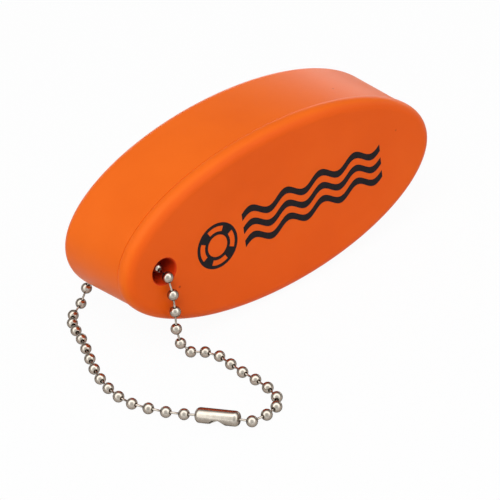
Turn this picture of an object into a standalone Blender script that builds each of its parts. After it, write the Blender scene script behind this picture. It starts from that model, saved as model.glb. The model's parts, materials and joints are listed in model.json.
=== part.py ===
"""A foam key float on a loop of ball chain.

The float stands on its long curved side. The ball chain runs through the hole near its end,
hangs down in front and behind, lies on the table in a loop and is closed by a sleeve connector.
Blender 4.5, metres, +Z up. The table is the plane z = 0.
"""

import math

import bmesh
import bpy
from mathutils import Matrix, Quaternion, Vector

MM = 0.001
TINY = 1e-6

# Float: an oval foam block with rounded edges. Length and height are those of its front rim.
FLOAT_LENGTH = 83.2 * MM
FLOAT_HEIGHT = 39.0 * MM
FLOAT_THICKNESS = 22.6 * MM
WALL_SPREAD = 0.85 * MM
FRONT_EDGE_RADIUS = 2.2 * MM
BACK_EDGE_RADIUS = 2.6 * MM
FRONT_RIM_WIDTH = 3.0 * MM
RIM_STEP = 0.25 * MM
HOLE_RADIUS = 2.8 * MM
HOLE_TO_END = 9.6 * MM
HOLE_MOUTH_RADIUS = 0.5 * MM
FLOAT_SEGMENTS = 56
EDGE_SEGMENTS = 3
HOLE_SEGMENTS = 20

# Ball chain: hollow balls joined by wire links with a head inside the next ball
BALL_RADIUS = 1.2 * MM
BALL_WALL = 0.2 * MM
BALL_OPENING_RADIUS = 0.42 * MM
LINK_WIRE_RADIUS = 0.22 * MM
LINK_HEAD_RADIUS = 0.52 * MM
LINK_HEAD_HALF_LENGTH = 0.3 * MM
HEAD_CLEARANCE = 0.1 * MM
PULLED_PITCH = 4.05 * MM
HOLE_PITCH = 3.8 * MM
LOOSE_PITCH = 3.1 * MM
BEND_FULL = math.radians(25.0)
BEND_NONE = math.radians(75.0)
BALL_UPPER_RING = 48.0
BALL_LOWER_RING = -45.0
CAVITY_LOWER_RING = -35.0
BALL_RING_STEPS = 3
CAVITY_RING_STEPS = 2
BALL_SEGMENTS = 9

# Sleeve connector: a rolled tube with rounded ends and an open seam
SLEEVE_LENGTH = 9.3 * MM
SLEEVE_RADIUS = 1.6 * MM
SLEEVE_WALL = 0.25 * MM
SLEEVE_END_RADIUS = 1.0 * MM
SLEEVE_OPENING_RADIUS = 0.5 * MM
SEAM_WIDTH = 0.6 * MM
SEAM_MOUTH_WIDTH = 2.8 * MM
SEAM_MOUTH_LENGTH = 3.7 * MM
SEAM_MOUTH_SEGMENTS = 16
SEAM_TURN = math.radians(-52.0)
SLEEVE_SEGMENTS = 20
SLEEVE_END_STEPS = 3
END_BALL_CLEARANCE = 0.05 * MM

# Clearances and how the chain lies. It bends little, so it arches between the mouths of the hole.
SURFACE_GAP = 0.3 * MM
CONNECTOR_ALONG = -9.1 * MM
CONNECTOR_OUT = 25.8 * MM
CONNECTOR_HEADING = math.radians(123.2)
CURVE_STEPS = 24

# Sizes that follow
HOLE_X = HOLE_TO_END - FLOAT_LENGTH / 2
HOLE_Z = FLOAT_HEIGHT / 2 + WALL_SPREAD
FRONT_Y = -FLOAT_THICKNESS / 2
BACK_Y = FLOAT_THICKNESS / 2
HOLE_FLOOR_Z = HOLE_Z - (HOLE_RADIUS - BALL_RADIUS - SURFACE_GAP)
CAVITY_RADIUS = BALL_RADIUS - BALL_WALL
HEAD_TRAVEL = CAVITY_RADIUS - LINK_HEAD_HALF_LENGTH - HEAD_CLEARANCE
END_BALL_OFFSET = SLEEVE_LENGTH / 2 - SLEEVE_WALL - BALL_RADIUS - END_BALL_CLEARANCE

# Route of the chain, hand-placed. Each stop is the distance along the float from the hole's axis,
# the distance out from the face named, the share of the drop from the hole to the table, and pitch.
FRONT_DROP = [
    (0.0 * MM, 1.7 * MM, 0.16, PULLED_PITCH),
    (-0.1 * MM, 1.8 * MM, 0.42, PULLED_PITCH),
    (-0.6 * MM, 1.9 * MM, 0.66, PULLED_PITCH),
    (-0.3 * MM, 2.3 * MM, 0.86, LOOSE_PITCH),
    (1.4 * MM, 3.5 * MM, 1.0, LOOSE_PITCH),
]
FRONT_LOOP = [
    (3.3 * MM, 5.4 * MM, 1.0, LOOSE_PITCH),
    (4.4 * MM, 8.6 * MM, 1.0, PULLED_PITCH),
    (4.1 * MM, 15.1 * MM, 1.0, PULLED_PITCH),
    (4.3 * MM, 22.3 * MM, 1.0, PULLED_PITCH),
    (3.9 * MM, 27.6 * MM, 1.0, PULLED_PITCH),
    (2.1 * MM, 30.9 * MM, 1.0, LOOSE_PITCH),
    (-1.4 * MM, 32.0 * MM, 1.0, LOOSE_PITCH),
]
FAR_LOOP = [
    (-15.4 * MM, 15.3 * MM, 1.0, PULLED_PITCH),
    (-18.2 * MM, 7.9 * MM, 1.0, PULLED_PITCH),
    (-18.3 * MM, 1.7 * MM, 1.0, PULLED_PITCH),
]
PAST_THE_END = [
    (-17.0 * MM, -6.4 * MM, 1.0, PULLED_PITCH),
    (-14.5 * MM, 0.2 * MM, 1.0, PULLED_PITCH),
    (-12.0 * MM, 6.2 * MM, 1.0, PULLED_PITCH),
]
BACK_RISE = [
    (-9.9 * MM, 1.6 * MM, 1.0, LOOSE_PITCH),
    (-8.3 * MM, 4.3 * MM, 1.0, LOOSE_PITCH),
    (-5.3 * MM, 6.0 * MM, 0.99, PULLED_PITCH),
    (-3.7 * MM, 5.5 * MM, 0.83, PULLED_PITCH),
    (-1.9 * MM, 3.5 * MM, 0.50, PULLED_PITCH),
    (-0.5 * MM, 2.0 * MM, 0.21, PULLED_PITCH),
]
MOUTH_OUT = 0.7 * MM
MOUTH_RISE = 0.5 * MM
ARCH_RISE = 1.1 * MM
SLEEVE_LEAD = 4.0 * MM


def material(name, colour, roughness, metallic):
    """A Principled material with one colour."""
    made = bpy.data.materials.new(name)
    made.use_nodes = True
    shader = made.node_tree.nodes["Principled BSDF"]
    shader.inputs["Base Color"].default_value = (*colour, 1.0)
    shader.inputs["Roughness"].default_value = roughness
    shader.inputs["Metallic"].default_value = metallic
    return made


def add_object(name, bm, finish, parent=None):
    """Makes a named object of a bmesh whose points are in the part's frame."""
    bmesh.ops.recalc_face_normals(bm, faces=bm.faces)
    mesh = bpy.data.meshes.new(name)
    bm.to_mesh(mesh)
    bm.free()
    mesh.shade_smooth()
    mesh.set_sharp_from_angle(angle=math.radians(40))
    obj = bpy.data.objects.new(name, mesh)
    bpy.context.collection.objects.link(obj)
    if finish:
        mesh.materials.append(finish)
    if parent:
        mesh.transform(Matrix.Translation(-parent.matrix_world.translation))
        obj.parent = parent
    return obj


def add_empty(name, place, parent=None):
    """An empty that carries the pieces of one body."""
    empty = bpy.data.objects.new(name, None)
    bpy.context.collection.objects.link(empty)
    empty.location = place
    empty.parent = parent
    bpy.context.view_layer.update()
    return empty


def turned(profile, segments, closed=False):
    """Turns a profile of (radius, height) points round the Z axis."""
    bm = bmesh.new()
    points = [bm.verts.new((radius, 0.0, height)) for radius, height in profile]
    edges = [bm.edges.new(pair) for pair in zip(points, points[1:])]
    if closed:
        edges.append(bm.edges.new((points[-1], points[0])))
    bmesh.ops.spin(bm, geom=points + edges, cent=(0, 0, 0), axis=(0, 0, 1), angle=math.tau,
                   steps=segments, use_merge=True)
    bmesh.ops.remove_doubles(bm, verts=bm.verts, dist=TINY / 10)
    bmesh.ops.recalc_face_normals(bm, faces=bm.faces)
    return bm


def arc_point(centre, radius, degrees):
    """One point of a circle in a profile's plane, with the angle from the radius direction."""
    angle = math.radians(degrees)
    return (centre[0] + radius * math.cos(angle), centre[1] + radius * math.sin(angle))


def arc(centre, radius, start, end, steps):
    """Points of an arc in a profile's plane, from a start angle to an end angle."""
    return [arc_point(centre, radius, start + (end - start) * step / steps)
            for step in range(steps + 1)]


def cut(obj, cutter):
    """Takes the cutter's shape out of the object."""
    cutter.hide_render = True
    cutter.display_type = "WIRE"
    boolean = obj.modifiers.new("cut_" + cutter.name, "BOOLEAN")
    boolean.operation = "DIFFERENCE"
    boolean.object = cutter


def cap_edges(bm, y_place):
    """Edges round the flat cap that lies in the plane y = y_place."""
    return [edge for edge in bm.edges
            if all(abs(vert.co.y - y_place) < TINY for vert in edge.verts)]


def make_float(finish, parent):
    """The oval block: a front rim, the wall set in behind it that spreads to the back."""
    bm = bmesh.new()
    bmesh.ops.create_circle(bm, cap_ends=True, segments=FLOAT_SEGMENTS, radius=1.0)
    shape = Matrix.Diagonal((FLOAT_LENGTH / 2, FLOAT_HEIGHT / 2, 1.0, 1.0))
    stand = Matrix.Translation((0, FRONT_Y, HOLE_Z)) @ Matrix.Rotation(math.radians(90), 4, "X")
    bmesh.ops.transform(bm, matrix=stand @ shape, verts=bm.verts)
    front = bm.faces[:]
    back = extrude_back(bm, front, FRONT_RIM_WIDTH)
    bmesh.ops.inset_individual(bm, faces=back, thickness=RIM_STEP, use_even_offset=True)
    ends = extrude_back(bm, back, FLOAT_THICKNESS - FRONT_RIM_WIDTH)
    bmesh.ops.delete(bm, geom=back, context="FACES_ONLY")
    spread_outline(ends, RIM_STEP + WALL_SPREAD)
    bmesh.ops.recalc_face_normals(bm, faces=bm.faces)
    for y_place, radius in ((FRONT_Y, FRONT_EDGE_RADIUS), (BACK_Y, BACK_EDGE_RADIUS)):
        bmesh.ops.bevel(bm, geom=cap_edges(bm, y_place), offset=radius, offset_type="OFFSET",
                        segments=EDGE_SEGMENTS, profile=0.5, affect="EDGES", material=-1)
    body = add_object("float_body", bm, finish, parent)
    cut(body, hole_cutter(parent))
    return body


def extrude_back(bm, faces, depth):
    """Extrudes faces along +Y and returns the new end faces."""
    made = bmesh.ops.extrude_face_region(bm, geom=faces)["geom"]
    verts = [item for item in made if isinstance(item, bmesh.types.BMVert)]
    bmesh.ops.translate(bm, vec=(0, depth, 0), verts=verts)
    return [item for item in made if isinstance(item, bmesh.types.BMFace)]


def spread_outline(faces, distance):
    """Moves an oval end's outline outwards in its plane, square to the oval."""
    for vert in {vert for face in faces for vert in face.verts}:
        outwards = Vector((vert.co.x / FLOAT_LENGTH ** 2, 0,
                           (vert.co.z - HOLE_Z) / FLOAT_HEIGHT ** 2))
        vert.co += outwards.normalized() * distance


def hole_cutter(parent):
    """A turned bar with flared ends, which leaves a hole with softened mouths."""
    half = FLOAT_THICKNESS / 2
    past = HOLE_MOUTH_RADIUS
    wide = HOLE_RADIUS + HOLE_MOUTH_RADIUS
    mid_flare = HOLE_MOUTH_RADIUS * (1 - math.sqrt(0.5))
    profile = [(0, -half - past), (wide, -half - past), (wide, -half),
               (HOLE_RADIUS + mid_flare, -half + mid_flare), (HOLE_RADIUS, -half + past),
               (HOLE_RADIUS, half - past), (HOLE_RADIUS + mid_flare, half - mid_flare),
               (wide, half), (wide, half + past), (0, half + past)]
    bm = turned(profile, HOLE_SEGMENTS)
    lay = Matrix.Translation((HOLE_X, 0, HOLE_Z)) @ Matrix.Rotation(math.radians(90), 4, "X")
    bmesh.ops.transform(bm, matrix=lay, verts=bm.verts)
    return add_object("hole_cutter", bm, None, parent)


def route_point(along, y_place, drop):
    """A stop of the route: along from the hole's axis, at a depth, and down towards the table."""
    z_place = HOLE_FLOOR_Z + (BALL_RADIUS - HOLE_FLOOR_Z) * drop
    return Vector((HOLE_X + along, y_place, z_place))


def connector_centre():
    """Middle of the sleeve, which lies on the table in front of the float."""
    return Vector((HOLE_X + CONNECTOR_ALONG, FRONT_Y - CONNECTOR_OUT, SLEEVE_RADIUS))


def connector_direction():
    """Direction of the sleeve's axis, from the front run to the far run."""
    return Vector((math.cos(CONNECTOR_HEADING), math.sin(CONNECTOR_HEADING), 0))


def route_stops():
    """The whole route, from the end ball in the sleeve through the hole and back to the sleeve."""
    sink = Vector((0, 0, BALL_RADIUS - SLEEVE_RADIUS))
    middle = connector_centre()
    ahead = connector_direction()
    start = [(middle - ahead * END_BALL_OFFSET, PULLED_PITCH),
             (middle - ahead * (END_BALL_OFFSET + SLEEVE_LEAD) + sink / 2, PULLED_PITCH)]
    front = [(route_point(along, FRONT_Y - out, drop), pitch)
             for along, out, drop, pitch in FRONT_DROP + FRONT_LOOP]
    lift = Vector((0, 0, MOUTH_RISE))
    arch = Vector((0, 0, ARCH_RISE))
    inside = [(route_point(0, FRONT_Y - MOUTH_OUT, 0) + lift, PULLED_PITCH),
              (route_point(0, FRONT_Y / 2, 0) + arch, HOLE_PITCH),
              (route_point(0, BACK_Y / 2, 0) + arch, HOLE_PITCH),
              (route_point(0, BACK_Y + MOUTH_OUT, 0) + lift, PULLED_PITCH)]
    back = [(route_point(along, BACK_Y + out, drop), pitch)
            for along, out, drop, pitch in BACK_RISE]
    past = [(route_point(along, y_place, drop), pitch)
            for along, y_place, drop, pitch in PAST_THE_END]
    far = [(route_point(along, FRONT_Y - out, drop), pitch)
           for along, out, drop, pitch in FAR_LOOP]
    end = [(middle + ahead * (END_BALL_OFFSET + SLEEVE_LEAD) + sink / 2, PULLED_PITCH),
           (middle + ahead * END_BALL_OFFSET, PULLED_PITCH)]
    return start + front[::-1] + inside + back[::-1] + past[::-1] + far[::-1] + end


def smooth_curve(stops):
    """Points of a centripetal Catmull-Rom curve through the stops, each with its pitch."""
    places = [stop[0] for stop in stops]
    pitches = [stop[1] for stop in stops]
    places = [places[0] * 2 - places[1]] + places + [places[-1] * 2 - places[-2]]
    dense = []
    for index in range(len(stops) - 1):
        p0, p1, p2, p3 = places[index:index + 4]
        t1 = math.sqrt((p1 - p0).length)
        t2 = t1 + math.sqrt((p2 - p1).length)
        t3 = t2 + math.sqrt((p3 - p2).length)
        for step in range(CURVE_STEPS):
            share = step / CURVE_STEPS
            t = t1 + (t2 - t1) * share
            a1 = p0.lerp(p1, t / t1)
            a2 = p1.lerp(p2, (t - t1) / (t2 - t1))
            a3 = p2.lerp(p3, (t - t2) / (t3 - t2))
            b1 = a1.lerp(a2, t / t2)
            b2 = a2.lerp(a3, (t - t1) / (t3 - t1))
            pitch = pitches[index] + (pitches[index + 1] - pitches[index]) * share
            dense.append((b1.lerp(b2, (t - t1) / (t2 - t1)), pitch))
    dense.append((places[-2], pitches[-1]))
    return dense


def ball_centres():
    """Ball centres along the route, as many as fit at the pitch of each stretch."""
    dense = smooth_curve(route_stops())
    counts = [0.0]
    for (here, pitch), (there, _) in zip(dense, dense[1:]):
        counts.append(counts[-1] + (there - here).length / pitch)
    total = round(counts[-1])
    centres = []
    index = 0
    for ball in range(total + 1):
        wanted = counts[-1] * ball / total
        while index < len(counts) - 2 and counts[index + 1] < wanted:
            index += 1
        share = (wanted - counts[index]) / (counts[index + 1] - counts[index])
        centres.append(dense[index][0].lerp(dense[index + 1][0], min(share, 1.0)))
    return centres


def link_reach(pitch):
    """Distance from a ball's centre to the link's head in the next ball, its play shared."""
    return (pitch + PULLED_PITCH) / 2 - HEAD_TRAVEL


def ball_profile(reach):
    """Profile of a hollow ball, open below, with its link above or a second opening."""
    rim = math.degrees(math.asin(BALL_OPENING_RADIUS / BALL_RADIUS))
    inner_rim = math.degrees(math.asin(BALL_OPENING_RADIUS / CAVITY_RADIUS))
    neck = math.degrees(math.asin(LINK_WIRE_RADIUS / BALL_RADIUS))
    if reach is None:
        outer = arc((0, 0), BALL_RADIUS, 90 - rim, rim - 90, BALL_RING_STEPS + 2)
        return outer + arc((0, 0), CAVITY_RADIUS, inner_rim - 90, 90 - inner_rim,
                           CAVITY_RING_STEPS + 2)
    link = [(0, reach + LINK_HEAD_HALF_LENGTH), (LINK_HEAD_RADIUS, reach),
            (LINK_WIRE_RADIUS, reach - LINK_HEAD_HALF_LENGTH)]
    middle = (0, 0)
    outer = [arc_point(middle, BALL_RADIUS, 90 - neck)]
    outer += arc(middle, BALL_RADIUS, BALL_UPPER_RING, BALL_LOWER_RING, BALL_RING_STEPS)
    outer.append(arc_point(middle, BALL_RADIUS, rim - 90))
    inner = [arc_point(middle, CAVITY_RADIUS, inner_rim - 90)]
    inner += arc(middle, CAVITY_RADIUS, CAVITY_LOWER_RING, BALL_UPPER_RING, CAVITY_RING_STEPS)
    return link + outer + inner + [(0, CAVITY_RADIUS)]


def face_neighbours(bm, exit_turn, entry_turn):
    """Slides both ends of a ball over its skin, so that each faces the neighbour it meets."""
    for vert in bm.verts:
        above = vert.co.z > 0
        polar = vert.co.angle(Vector((0, 0, 1 if above else -1)))
        share = min(max((BEND_NONE - polar) / (BEND_NONE - BEND_FULL), 0), 1)
        vert.co.rotate(Quaternion().slerp(exit_turn if above else entry_turn, share))


def make_ball(name, place, arriving, leaving, reach, finish, parent):
    """One ball of the chain, turned to its neighbours, with the link that reaches the next."""
    bm = turned(ball_profile(reach), BALL_SEGMENTS, closed=reach is None)
    turn = (arriving + leaving).normalized().to_track_quat("Z", "Y")
    up = Vector((0, 0, 1))
    exit_turn = up.rotation_difference(turn.inverted() @ leaving)
    entry_turn = (-up).rotation_difference(turn.inverted() @ -arriving)
    face_neighbours(bm, exit_turn, entry_turn)
    bmesh.ops.transform(bm, matrix=Matrix.Translation(place) @ turn.to_matrix().to_4x4(),
                        verts=bm.verts)
    bmesh.ops.triangulate(bm, faces=bm.faces)
    return add_object(name, bm, finish, parent)


def make_chain(finish, parent):
    """All balls, from the front run's end ball in the sleeve to the back run's end ball."""
    centres = ball_centres()
    steps = [there - here for here, there in zip(centres, centres[1:])]
    for index, place in enumerate(centres):
        last = index == len(steps)
        arriving = steps[max(index - 1, 0)].normalized()
        leaving = arriving if last else steps[index].normalized()
        reach = None if last else link_reach(steps[index].length)
        name = "ball_%02d" % index
        if index == 0:
            name = "front_end_ball"
        elif last:
            name = "back_end_ball"
        make_ball(name, place, arriving, leaving, reach, finish, parent)


def sleeve_profile():
    """Wall of the sleeve: outer skin, end openings and inner skin."""
    half = SLEEVE_LENGTH / 2
    inner_end = SLEEVE_END_RADIUS - SLEEVE_WALL
    corner = (SLEEVE_RADIUS - SLEEVE_END_RADIUS, half - SLEEVE_END_RADIUS)
    outer = [(SLEEVE_OPENING_RADIUS, half)]
    outer += arc(corner, SLEEVE_END_RADIUS, 90, 0, SLEEVE_END_STEPS)
    inner = arc(corner, inner_end, 0, 90, SLEEVE_END_STEPS)
    inner.append((SLEEVE_OPENING_RADIUS, half - SLEEVE_WALL))
    lower = [(radius, -height) for radius, height in reversed(outer)]
    lower_inner = [(radius, -height) for radius, height in reversed(inner)]
    return outer + lower + lower_inner + inner


def make_sleeve(finish, parent):
    """The connector that closes the chain: a rolled tube with an open seam and a ball's way in."""
    bm = turned(sleeve_profile(), SLEEVE_SEGMENTS, closed=True)
    lay = connector_direction().to_track_quat("Z", "Y").to_matrix().to_4x4()
    place = Matrix.Translation(connector_centre()) @ lay @ Matrix.Rotation(SEAM_TURN, 4, "Z")
    bmesh.ops.transform(bm, matrix=place, verts=bm.verts)
    sleeve = add_object("connector_sleeve", bm, finish, parent)
    reach = SLEEVE_RADIUS * 2
    aside = place @ Matrix.Translation((reach / 2, 0, 0))

    seam = bmesh.new()
    bmesh.ops.create_cube(seam, size=1.0)
    size = Matrix.Diagonal((reach, SEAM_WIDTH, SLEEVE_LENGTH * 2, 1.0))
    bmesh.ops.transform(seam, matrix=aside @ size, verts=seam.verts)
    cut(sleeve, add_object("seam_cutter", seam, None, parent))

    mouth = bmesh.new()
    bmesh.ops.create_cone(mouth, cap_ends=True, segments=SEAM_MOUTH_SEGMENTS, radius1=0.5,
                          radius2=0.5, depth=1.0, matrix=Matrix.Rotation(math.radians(90), 4, "Y"))
    size = Matrix.Diagonal((reach, SEAM_MOUTH_WIDTH, SEAM_MOUTH_LENGTH, 1.0))
    bmesh.ops.transform(mouth, matrix=aside @ size, verts=mouth.verts)
    cut(sleeve, add_object("seam_mouth_cutter", mouth, None, parent))
    return sleeve


def centre_over_base(root, pieces):
    """Moves everything so that the origin lies under the middle of the part's box."""
    bpy.context.view_layer.update()
    corners = [piece.matrix_world @ vert.co for piece in pieces for vert in piece.data.vertices]
    lows = [min(corner[axis] for corner in corners) for axis in range(3)]
    highs = [max(corner[axis] for corner in corners) for axis in range(3)]
    root.location = [-(lows[0] + highs[0]) / 2, -(lows[1] + highs[1]) / 2, -lows[2]]
    bpy.context.view_layer.update()


def main():
    """Builds the part."""
    for obj in list(bpy.data.objects):
        bpy.data.objects.remove(obj, do_unlink=True)
    foam = material("orange_foam", (0.95, 0.30, 0.06), 0.7, 0.0)
    nickel = material("nickel_plate", (0.72, 0.68, 0.62), 0.25, 1.0)
    root = add_empty("key_float", (0, 0, 0))
    swing = add_empty("chain_swing_axis", (HOLE_X, 0, HOLE_Z), root)
    spin = add_empty("connector_spin_axis", connector_centre() - swing.location, swing)
    make_float(foam, root)
    make_chain(nickel, swing)
    make_sleeve(nickel, spin)
    pieces = [obj for obj in bpy.data.objects if obj.type == "MESH" and not obj.hide_render]
    centre_over_base(root, pieces)
    for empty in (root, swing, spin):
        print(empty.name, [round(value, 6) for value in empty.matrix_world.translation])
    print("connector axis", [round(value, 6) for value in connector_direction()])
    print("pieces", len(pieces))


main()
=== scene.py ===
# %% [markdown]
# A foam key float on a ball chain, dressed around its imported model.
#
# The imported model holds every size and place: an oval foam block, the balls of a chain and the
# sleeve that closes it. This script gives each of them its finish. It first loads that model as a
# fixed frame and keeps its box, so that the finished pieces can be compared with it at the end.

# %% Load the frame
import json
import math

import bmesh
import bpy
import numpy as np
from mathutils import Matrix, Quaternion, Vector


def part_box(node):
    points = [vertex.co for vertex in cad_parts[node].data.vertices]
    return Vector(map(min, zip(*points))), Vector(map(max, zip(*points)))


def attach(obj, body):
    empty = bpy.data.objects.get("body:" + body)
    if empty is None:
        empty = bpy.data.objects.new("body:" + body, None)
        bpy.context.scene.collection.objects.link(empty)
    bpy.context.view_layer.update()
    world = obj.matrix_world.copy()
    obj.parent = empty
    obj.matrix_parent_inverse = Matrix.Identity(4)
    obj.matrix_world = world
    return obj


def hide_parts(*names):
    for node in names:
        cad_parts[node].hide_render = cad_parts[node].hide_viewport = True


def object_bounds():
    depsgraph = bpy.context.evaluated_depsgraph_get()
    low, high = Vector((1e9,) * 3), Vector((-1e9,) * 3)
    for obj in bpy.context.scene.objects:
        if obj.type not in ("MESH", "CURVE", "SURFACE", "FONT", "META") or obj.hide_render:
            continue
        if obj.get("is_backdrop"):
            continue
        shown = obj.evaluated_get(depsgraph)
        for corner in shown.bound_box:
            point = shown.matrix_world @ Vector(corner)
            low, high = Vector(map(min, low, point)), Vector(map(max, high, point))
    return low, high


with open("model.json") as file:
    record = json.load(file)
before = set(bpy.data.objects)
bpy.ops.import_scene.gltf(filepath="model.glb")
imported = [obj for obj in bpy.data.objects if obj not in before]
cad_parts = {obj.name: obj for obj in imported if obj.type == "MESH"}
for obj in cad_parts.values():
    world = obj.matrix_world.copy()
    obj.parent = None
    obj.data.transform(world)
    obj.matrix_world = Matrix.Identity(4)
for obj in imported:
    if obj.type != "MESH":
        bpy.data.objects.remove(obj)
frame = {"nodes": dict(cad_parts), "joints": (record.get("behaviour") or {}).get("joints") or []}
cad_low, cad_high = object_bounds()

MM = 0.001


def in_mm(lengths, places=2):
    """Lengths in millimetres, rounded for a print."""
    return [round(length / MM, places) for length in lengths]


print("nodes", len(frame["nodes"]), "box in mm", in_mm(cad_high - cad_low))

# %% [markdown]
# The float's box, the hole's axis and the connector's axis all come from the frame, so nothing
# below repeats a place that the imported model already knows.

# %% Read places from the frame
float_low, float_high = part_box("float_body")
float_centre = (float_low + float_high) / 2
float_size = float_high - float_low
joints = {joint["name"]: joint for joint in frame["joints"]}
hole_place = Vector(joints["chain_swing"]["pos_m"])
sleeve_place = Vector(joints["connector_spin"]["pos_m"])
sleeve_axis = Vector(joints["connector_spin"]["axis"]).normalized()
print("float in mm", in_mm(float_size))
print("hole to the float's end in mm", in_mm([hole_place.x - float_low.x]))

# %% [markdown]
# A long lens and a camera half a metre away keep a small thing free of distortion. This camera
# stands left of the float's middle and above it, and is rolled a little, so that the float seems
# to lean. It aims at a point inside the float, and then slides sideways and down, which places the
# float in the picture without turning the view again.

# %% Set up the camera
CAMERA_AZIMUTH = math.radians(-34.3)
CAMERA_ELEVATION = math.radians(31.65)
CAMERA_ROLL = math.radians(-7.83)
CAMERA_DISTANCE = 471.5 * MM
CLIP_START = 10 * MM
AIM_DEPTH = 11.7 * MM
FLOAT_RIGHT_OF_CENTRE = 0.286 * MM
FLOAT_ABOVE_CENTRE = 12.68 * MM
LENS = 158.4


def aim_camera():
    """Makes the camera and points it so that the float sits where it does in the picture."""
    back = Vector((math.sin(CAMERA_AZIMUTH) * math.cos(CAMERA_ELEVATION),
                   -math.cos(CAMERA_AZIMUTH) * math.cos(CAMERA_ELEVATION),
                   math.sin(CAMERA_ELEVATION)))
    turn = back.to_track_quat("Z", "Y") @ Quaternion((0, 0, 1), CAMERA_ROLL)
    right = turn @ Vector((1, 0, 0))
    up = turn @ Vector((0, 1, 0))
    aim = Vector((float_centre.x, float_low.y + AIM_DEPTH, float_centre.z))
    data = bpy.data.cameras.new("camera")
    data.lens = LENS
    data.clip_start = CLIP_START
    camera = bpy.data.objects.new("camera", data)
    bpy.context.collection.objects.link(camera)
    camera.rotation_mode = "QUATERNION"
    camera.rotation_quaternion = turn
    camera.location = (aim + back * CAMERA_DISTANCE
                       - right * FLOAT_RIGHT_OF_CENTRE - up * FLOAT_ABOVE_CENTRE)
    bpy.context.scene.camera = camera
    return camera


camera = aim_camera()
print("camera at", [round(v, 3) for v in camera.location])

# %% [markdown]
# A product picture on white is lit by large soft lamps. The strong one hangs above and to the
# left, so the float's curved side is bright and its flat face, turned away from it, is a step
# darker. A weaker lamp from the back lays the pale sheen along the top, and one from the right
# keeps the far end from going dark. Mirrors would show square lamps, so the metal doesn't see
# them: it gets a tent of its own further down.

# %% Light the scene
LAMPS = (  # name, place, size in metres, power in watts
    ("key_lamp", (-0.30, -0.24, 0.60), 0.40, 3.25),
    ("fill_lamp", (0.20, -0.70, 0.30), 0.45, 0.35),
    ("back_lamp", (0.42, 0.60, 0.16), 0.30, 0.45),
    ("side_lamp", (0.64, -0.16, 0.10), 0.40, 0.7),
)


def soft_lamp(name, place, size, watts):
    """A square area lamp that looks at the float."""
    data = bpy.data.lights.new(name, "AREA")
    data.size = size
    data.energy = watts
    lamp = bpy.data.objects.new(name, data)
    bpy.context.collection.objects.link(lamp)
    lamp.location = place
    lamp.rotation_mode = "QUATERNION"
    lamp.rotation_quaternion = (Vector(place) - float_centre).to_track_quat("Z", "Y")
    lamp.visible_glossy = False


for lamp_values in LAMPS:
    soft_lamp(*lamp_values)
bpy.context.scene.view_settings.view_transform = "Standard"
print("lamps", len(LAMPS))

# %% [markdown]
# Shader maths reads best as Python expressions. One class keeps a node tree, and its `node` makes
# any node from its type, its settings and the values or links of its sockets. A second class wraps
# one socket, so that `1 - mask * 0.5` adds the Math nodes it needs.

# %% Node trees


class Tree:
    """A material's or a world's node tree, emptied, with a method that makes nodes."""

    def __init__(self, owner):
        owner.use_nodes = True
        self.nodes = owner.node_tree.nodes
        self.links = owner.node_tree.links
        self.nodes.clear()

    def node(self, kind, settings=None, inputs=None, output=0):
        """Makes a node, sets it, fills its sockets and returns one of its outputs."""
        made = self.nodes.new(kind)
        for name, value in (settings or {}).items():
            if name == "stops":
                self.set_stops(made.color_ramp, value)
            else:
                setattr(made, name, value)
        for name, value in (inputs or {}).items():
            self.feed(made.inputs[name], value)
        if not made.outputs:
            return made
        return Wire(self, made.outputs[output])

    def feed(self, socket, value):
        """Links a wire to a socket, or writes a plain value on it."""
        if isinstance(value, Wire):
            self.links.new(value.socket, socket)
        else:
            socket.default_value = value

    def set_stops(self, ramp, stops):
        """Sets a colour ramp's stops from (place, colour) pairs."""
        while len(ramp.elements) < len(stops):
            ramp.elements.new(1.0)
        for element, (place, colour) in zip(ramp.elements, stops):
            element.position = place
            element.color = colour


# %% Socket arithmetic


class Wire:
    """One socket, with the arithmetic that a material needs."""

    def __init__(self, tree, socket):
        self.tree = tree
        self.socket = socket

    def maths(self, operation, first, second):
        return self.tree.node("ShaderNodeMath", {"operation": operation}, {0: first, 1: second})

    def __add__(self, other):
        return self.maths("ADD", self, other)

    __radd__ = __add__

    def __sub__(self, other):
        return self.maths("SUBTRACT", self, other)

    def __rsub__(self, other):
        return self.maths("SUBTRACT", other, self)

    def __mul__(self, other):
        return self.maths("MULTIPLY", self, other)

    __rmul__ = __mul__

    def less_than(self, other):
        return self.maths("LESS_THAN", self, other)


# %% [markdown]
# Colours are written as the 0 to 255 numbers that a picture shows and turned into the linear ones
# that a shader counts in. The Mix node has its sockets once for each kind of data, under the same
# names, so its colour sockets are called by their numbers.

# %% Colour helpers
MIX_FACTOR, MIX_FIRST, MIX_SECOND, MIX_RESULT = 0, 6, 7, 2
WHITE = (1.0, 1.0, 1.0, 1.0)


def rgba(red, green, blue):
    """A linear colour from the 0 to 255 numbers of a picture."""
    out = []
    for value in (red, green, blue):
        share = value / 255
        out.append(share / 12.92 if share <= 0.04045 else ((share + 0.055) / 1.055) ** 2.4)
    return (*out, 1.0)


def mix_colour(tree, factor, first, second, blend="MIX"):
    """Mixes two colours by a factor."""
    return tree.node("ShaderNodeMix", {"data_type": "RGBA", "blend_type": blend},
                     {MIX_FACTOR: factor, MIX_FIRST: first, MIX_SECOND: second},
                     output=MIX_RESULT)


def new_material(name):
    """A material and its emptied tree."""
    made = bpy.data.materials.new(name)
    return made, Tree(made)


def noise(tree, place, scale, detail, roughness):
    """Noise of a scale, from 0 to 1."""
    return tree.node("ShaderNodeTexNoise", inputs={
        "Vector": place, "Scale": scale, "Detail": detail, "Roughness": roughness})


def ease(tree, value, start, end):
    """Goes smoothly from 0 at one value to 1 at another."""
    return tree.node("ShaderNodeMapRange", {"interpolation_type": "SMOOTHSTEP"}, {
        "Value": value, "From Min": start, "From Max": end})


print("a middle grey in linear numbers", [round(v, 3) for v in rgba(128, 128, 128)])

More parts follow.
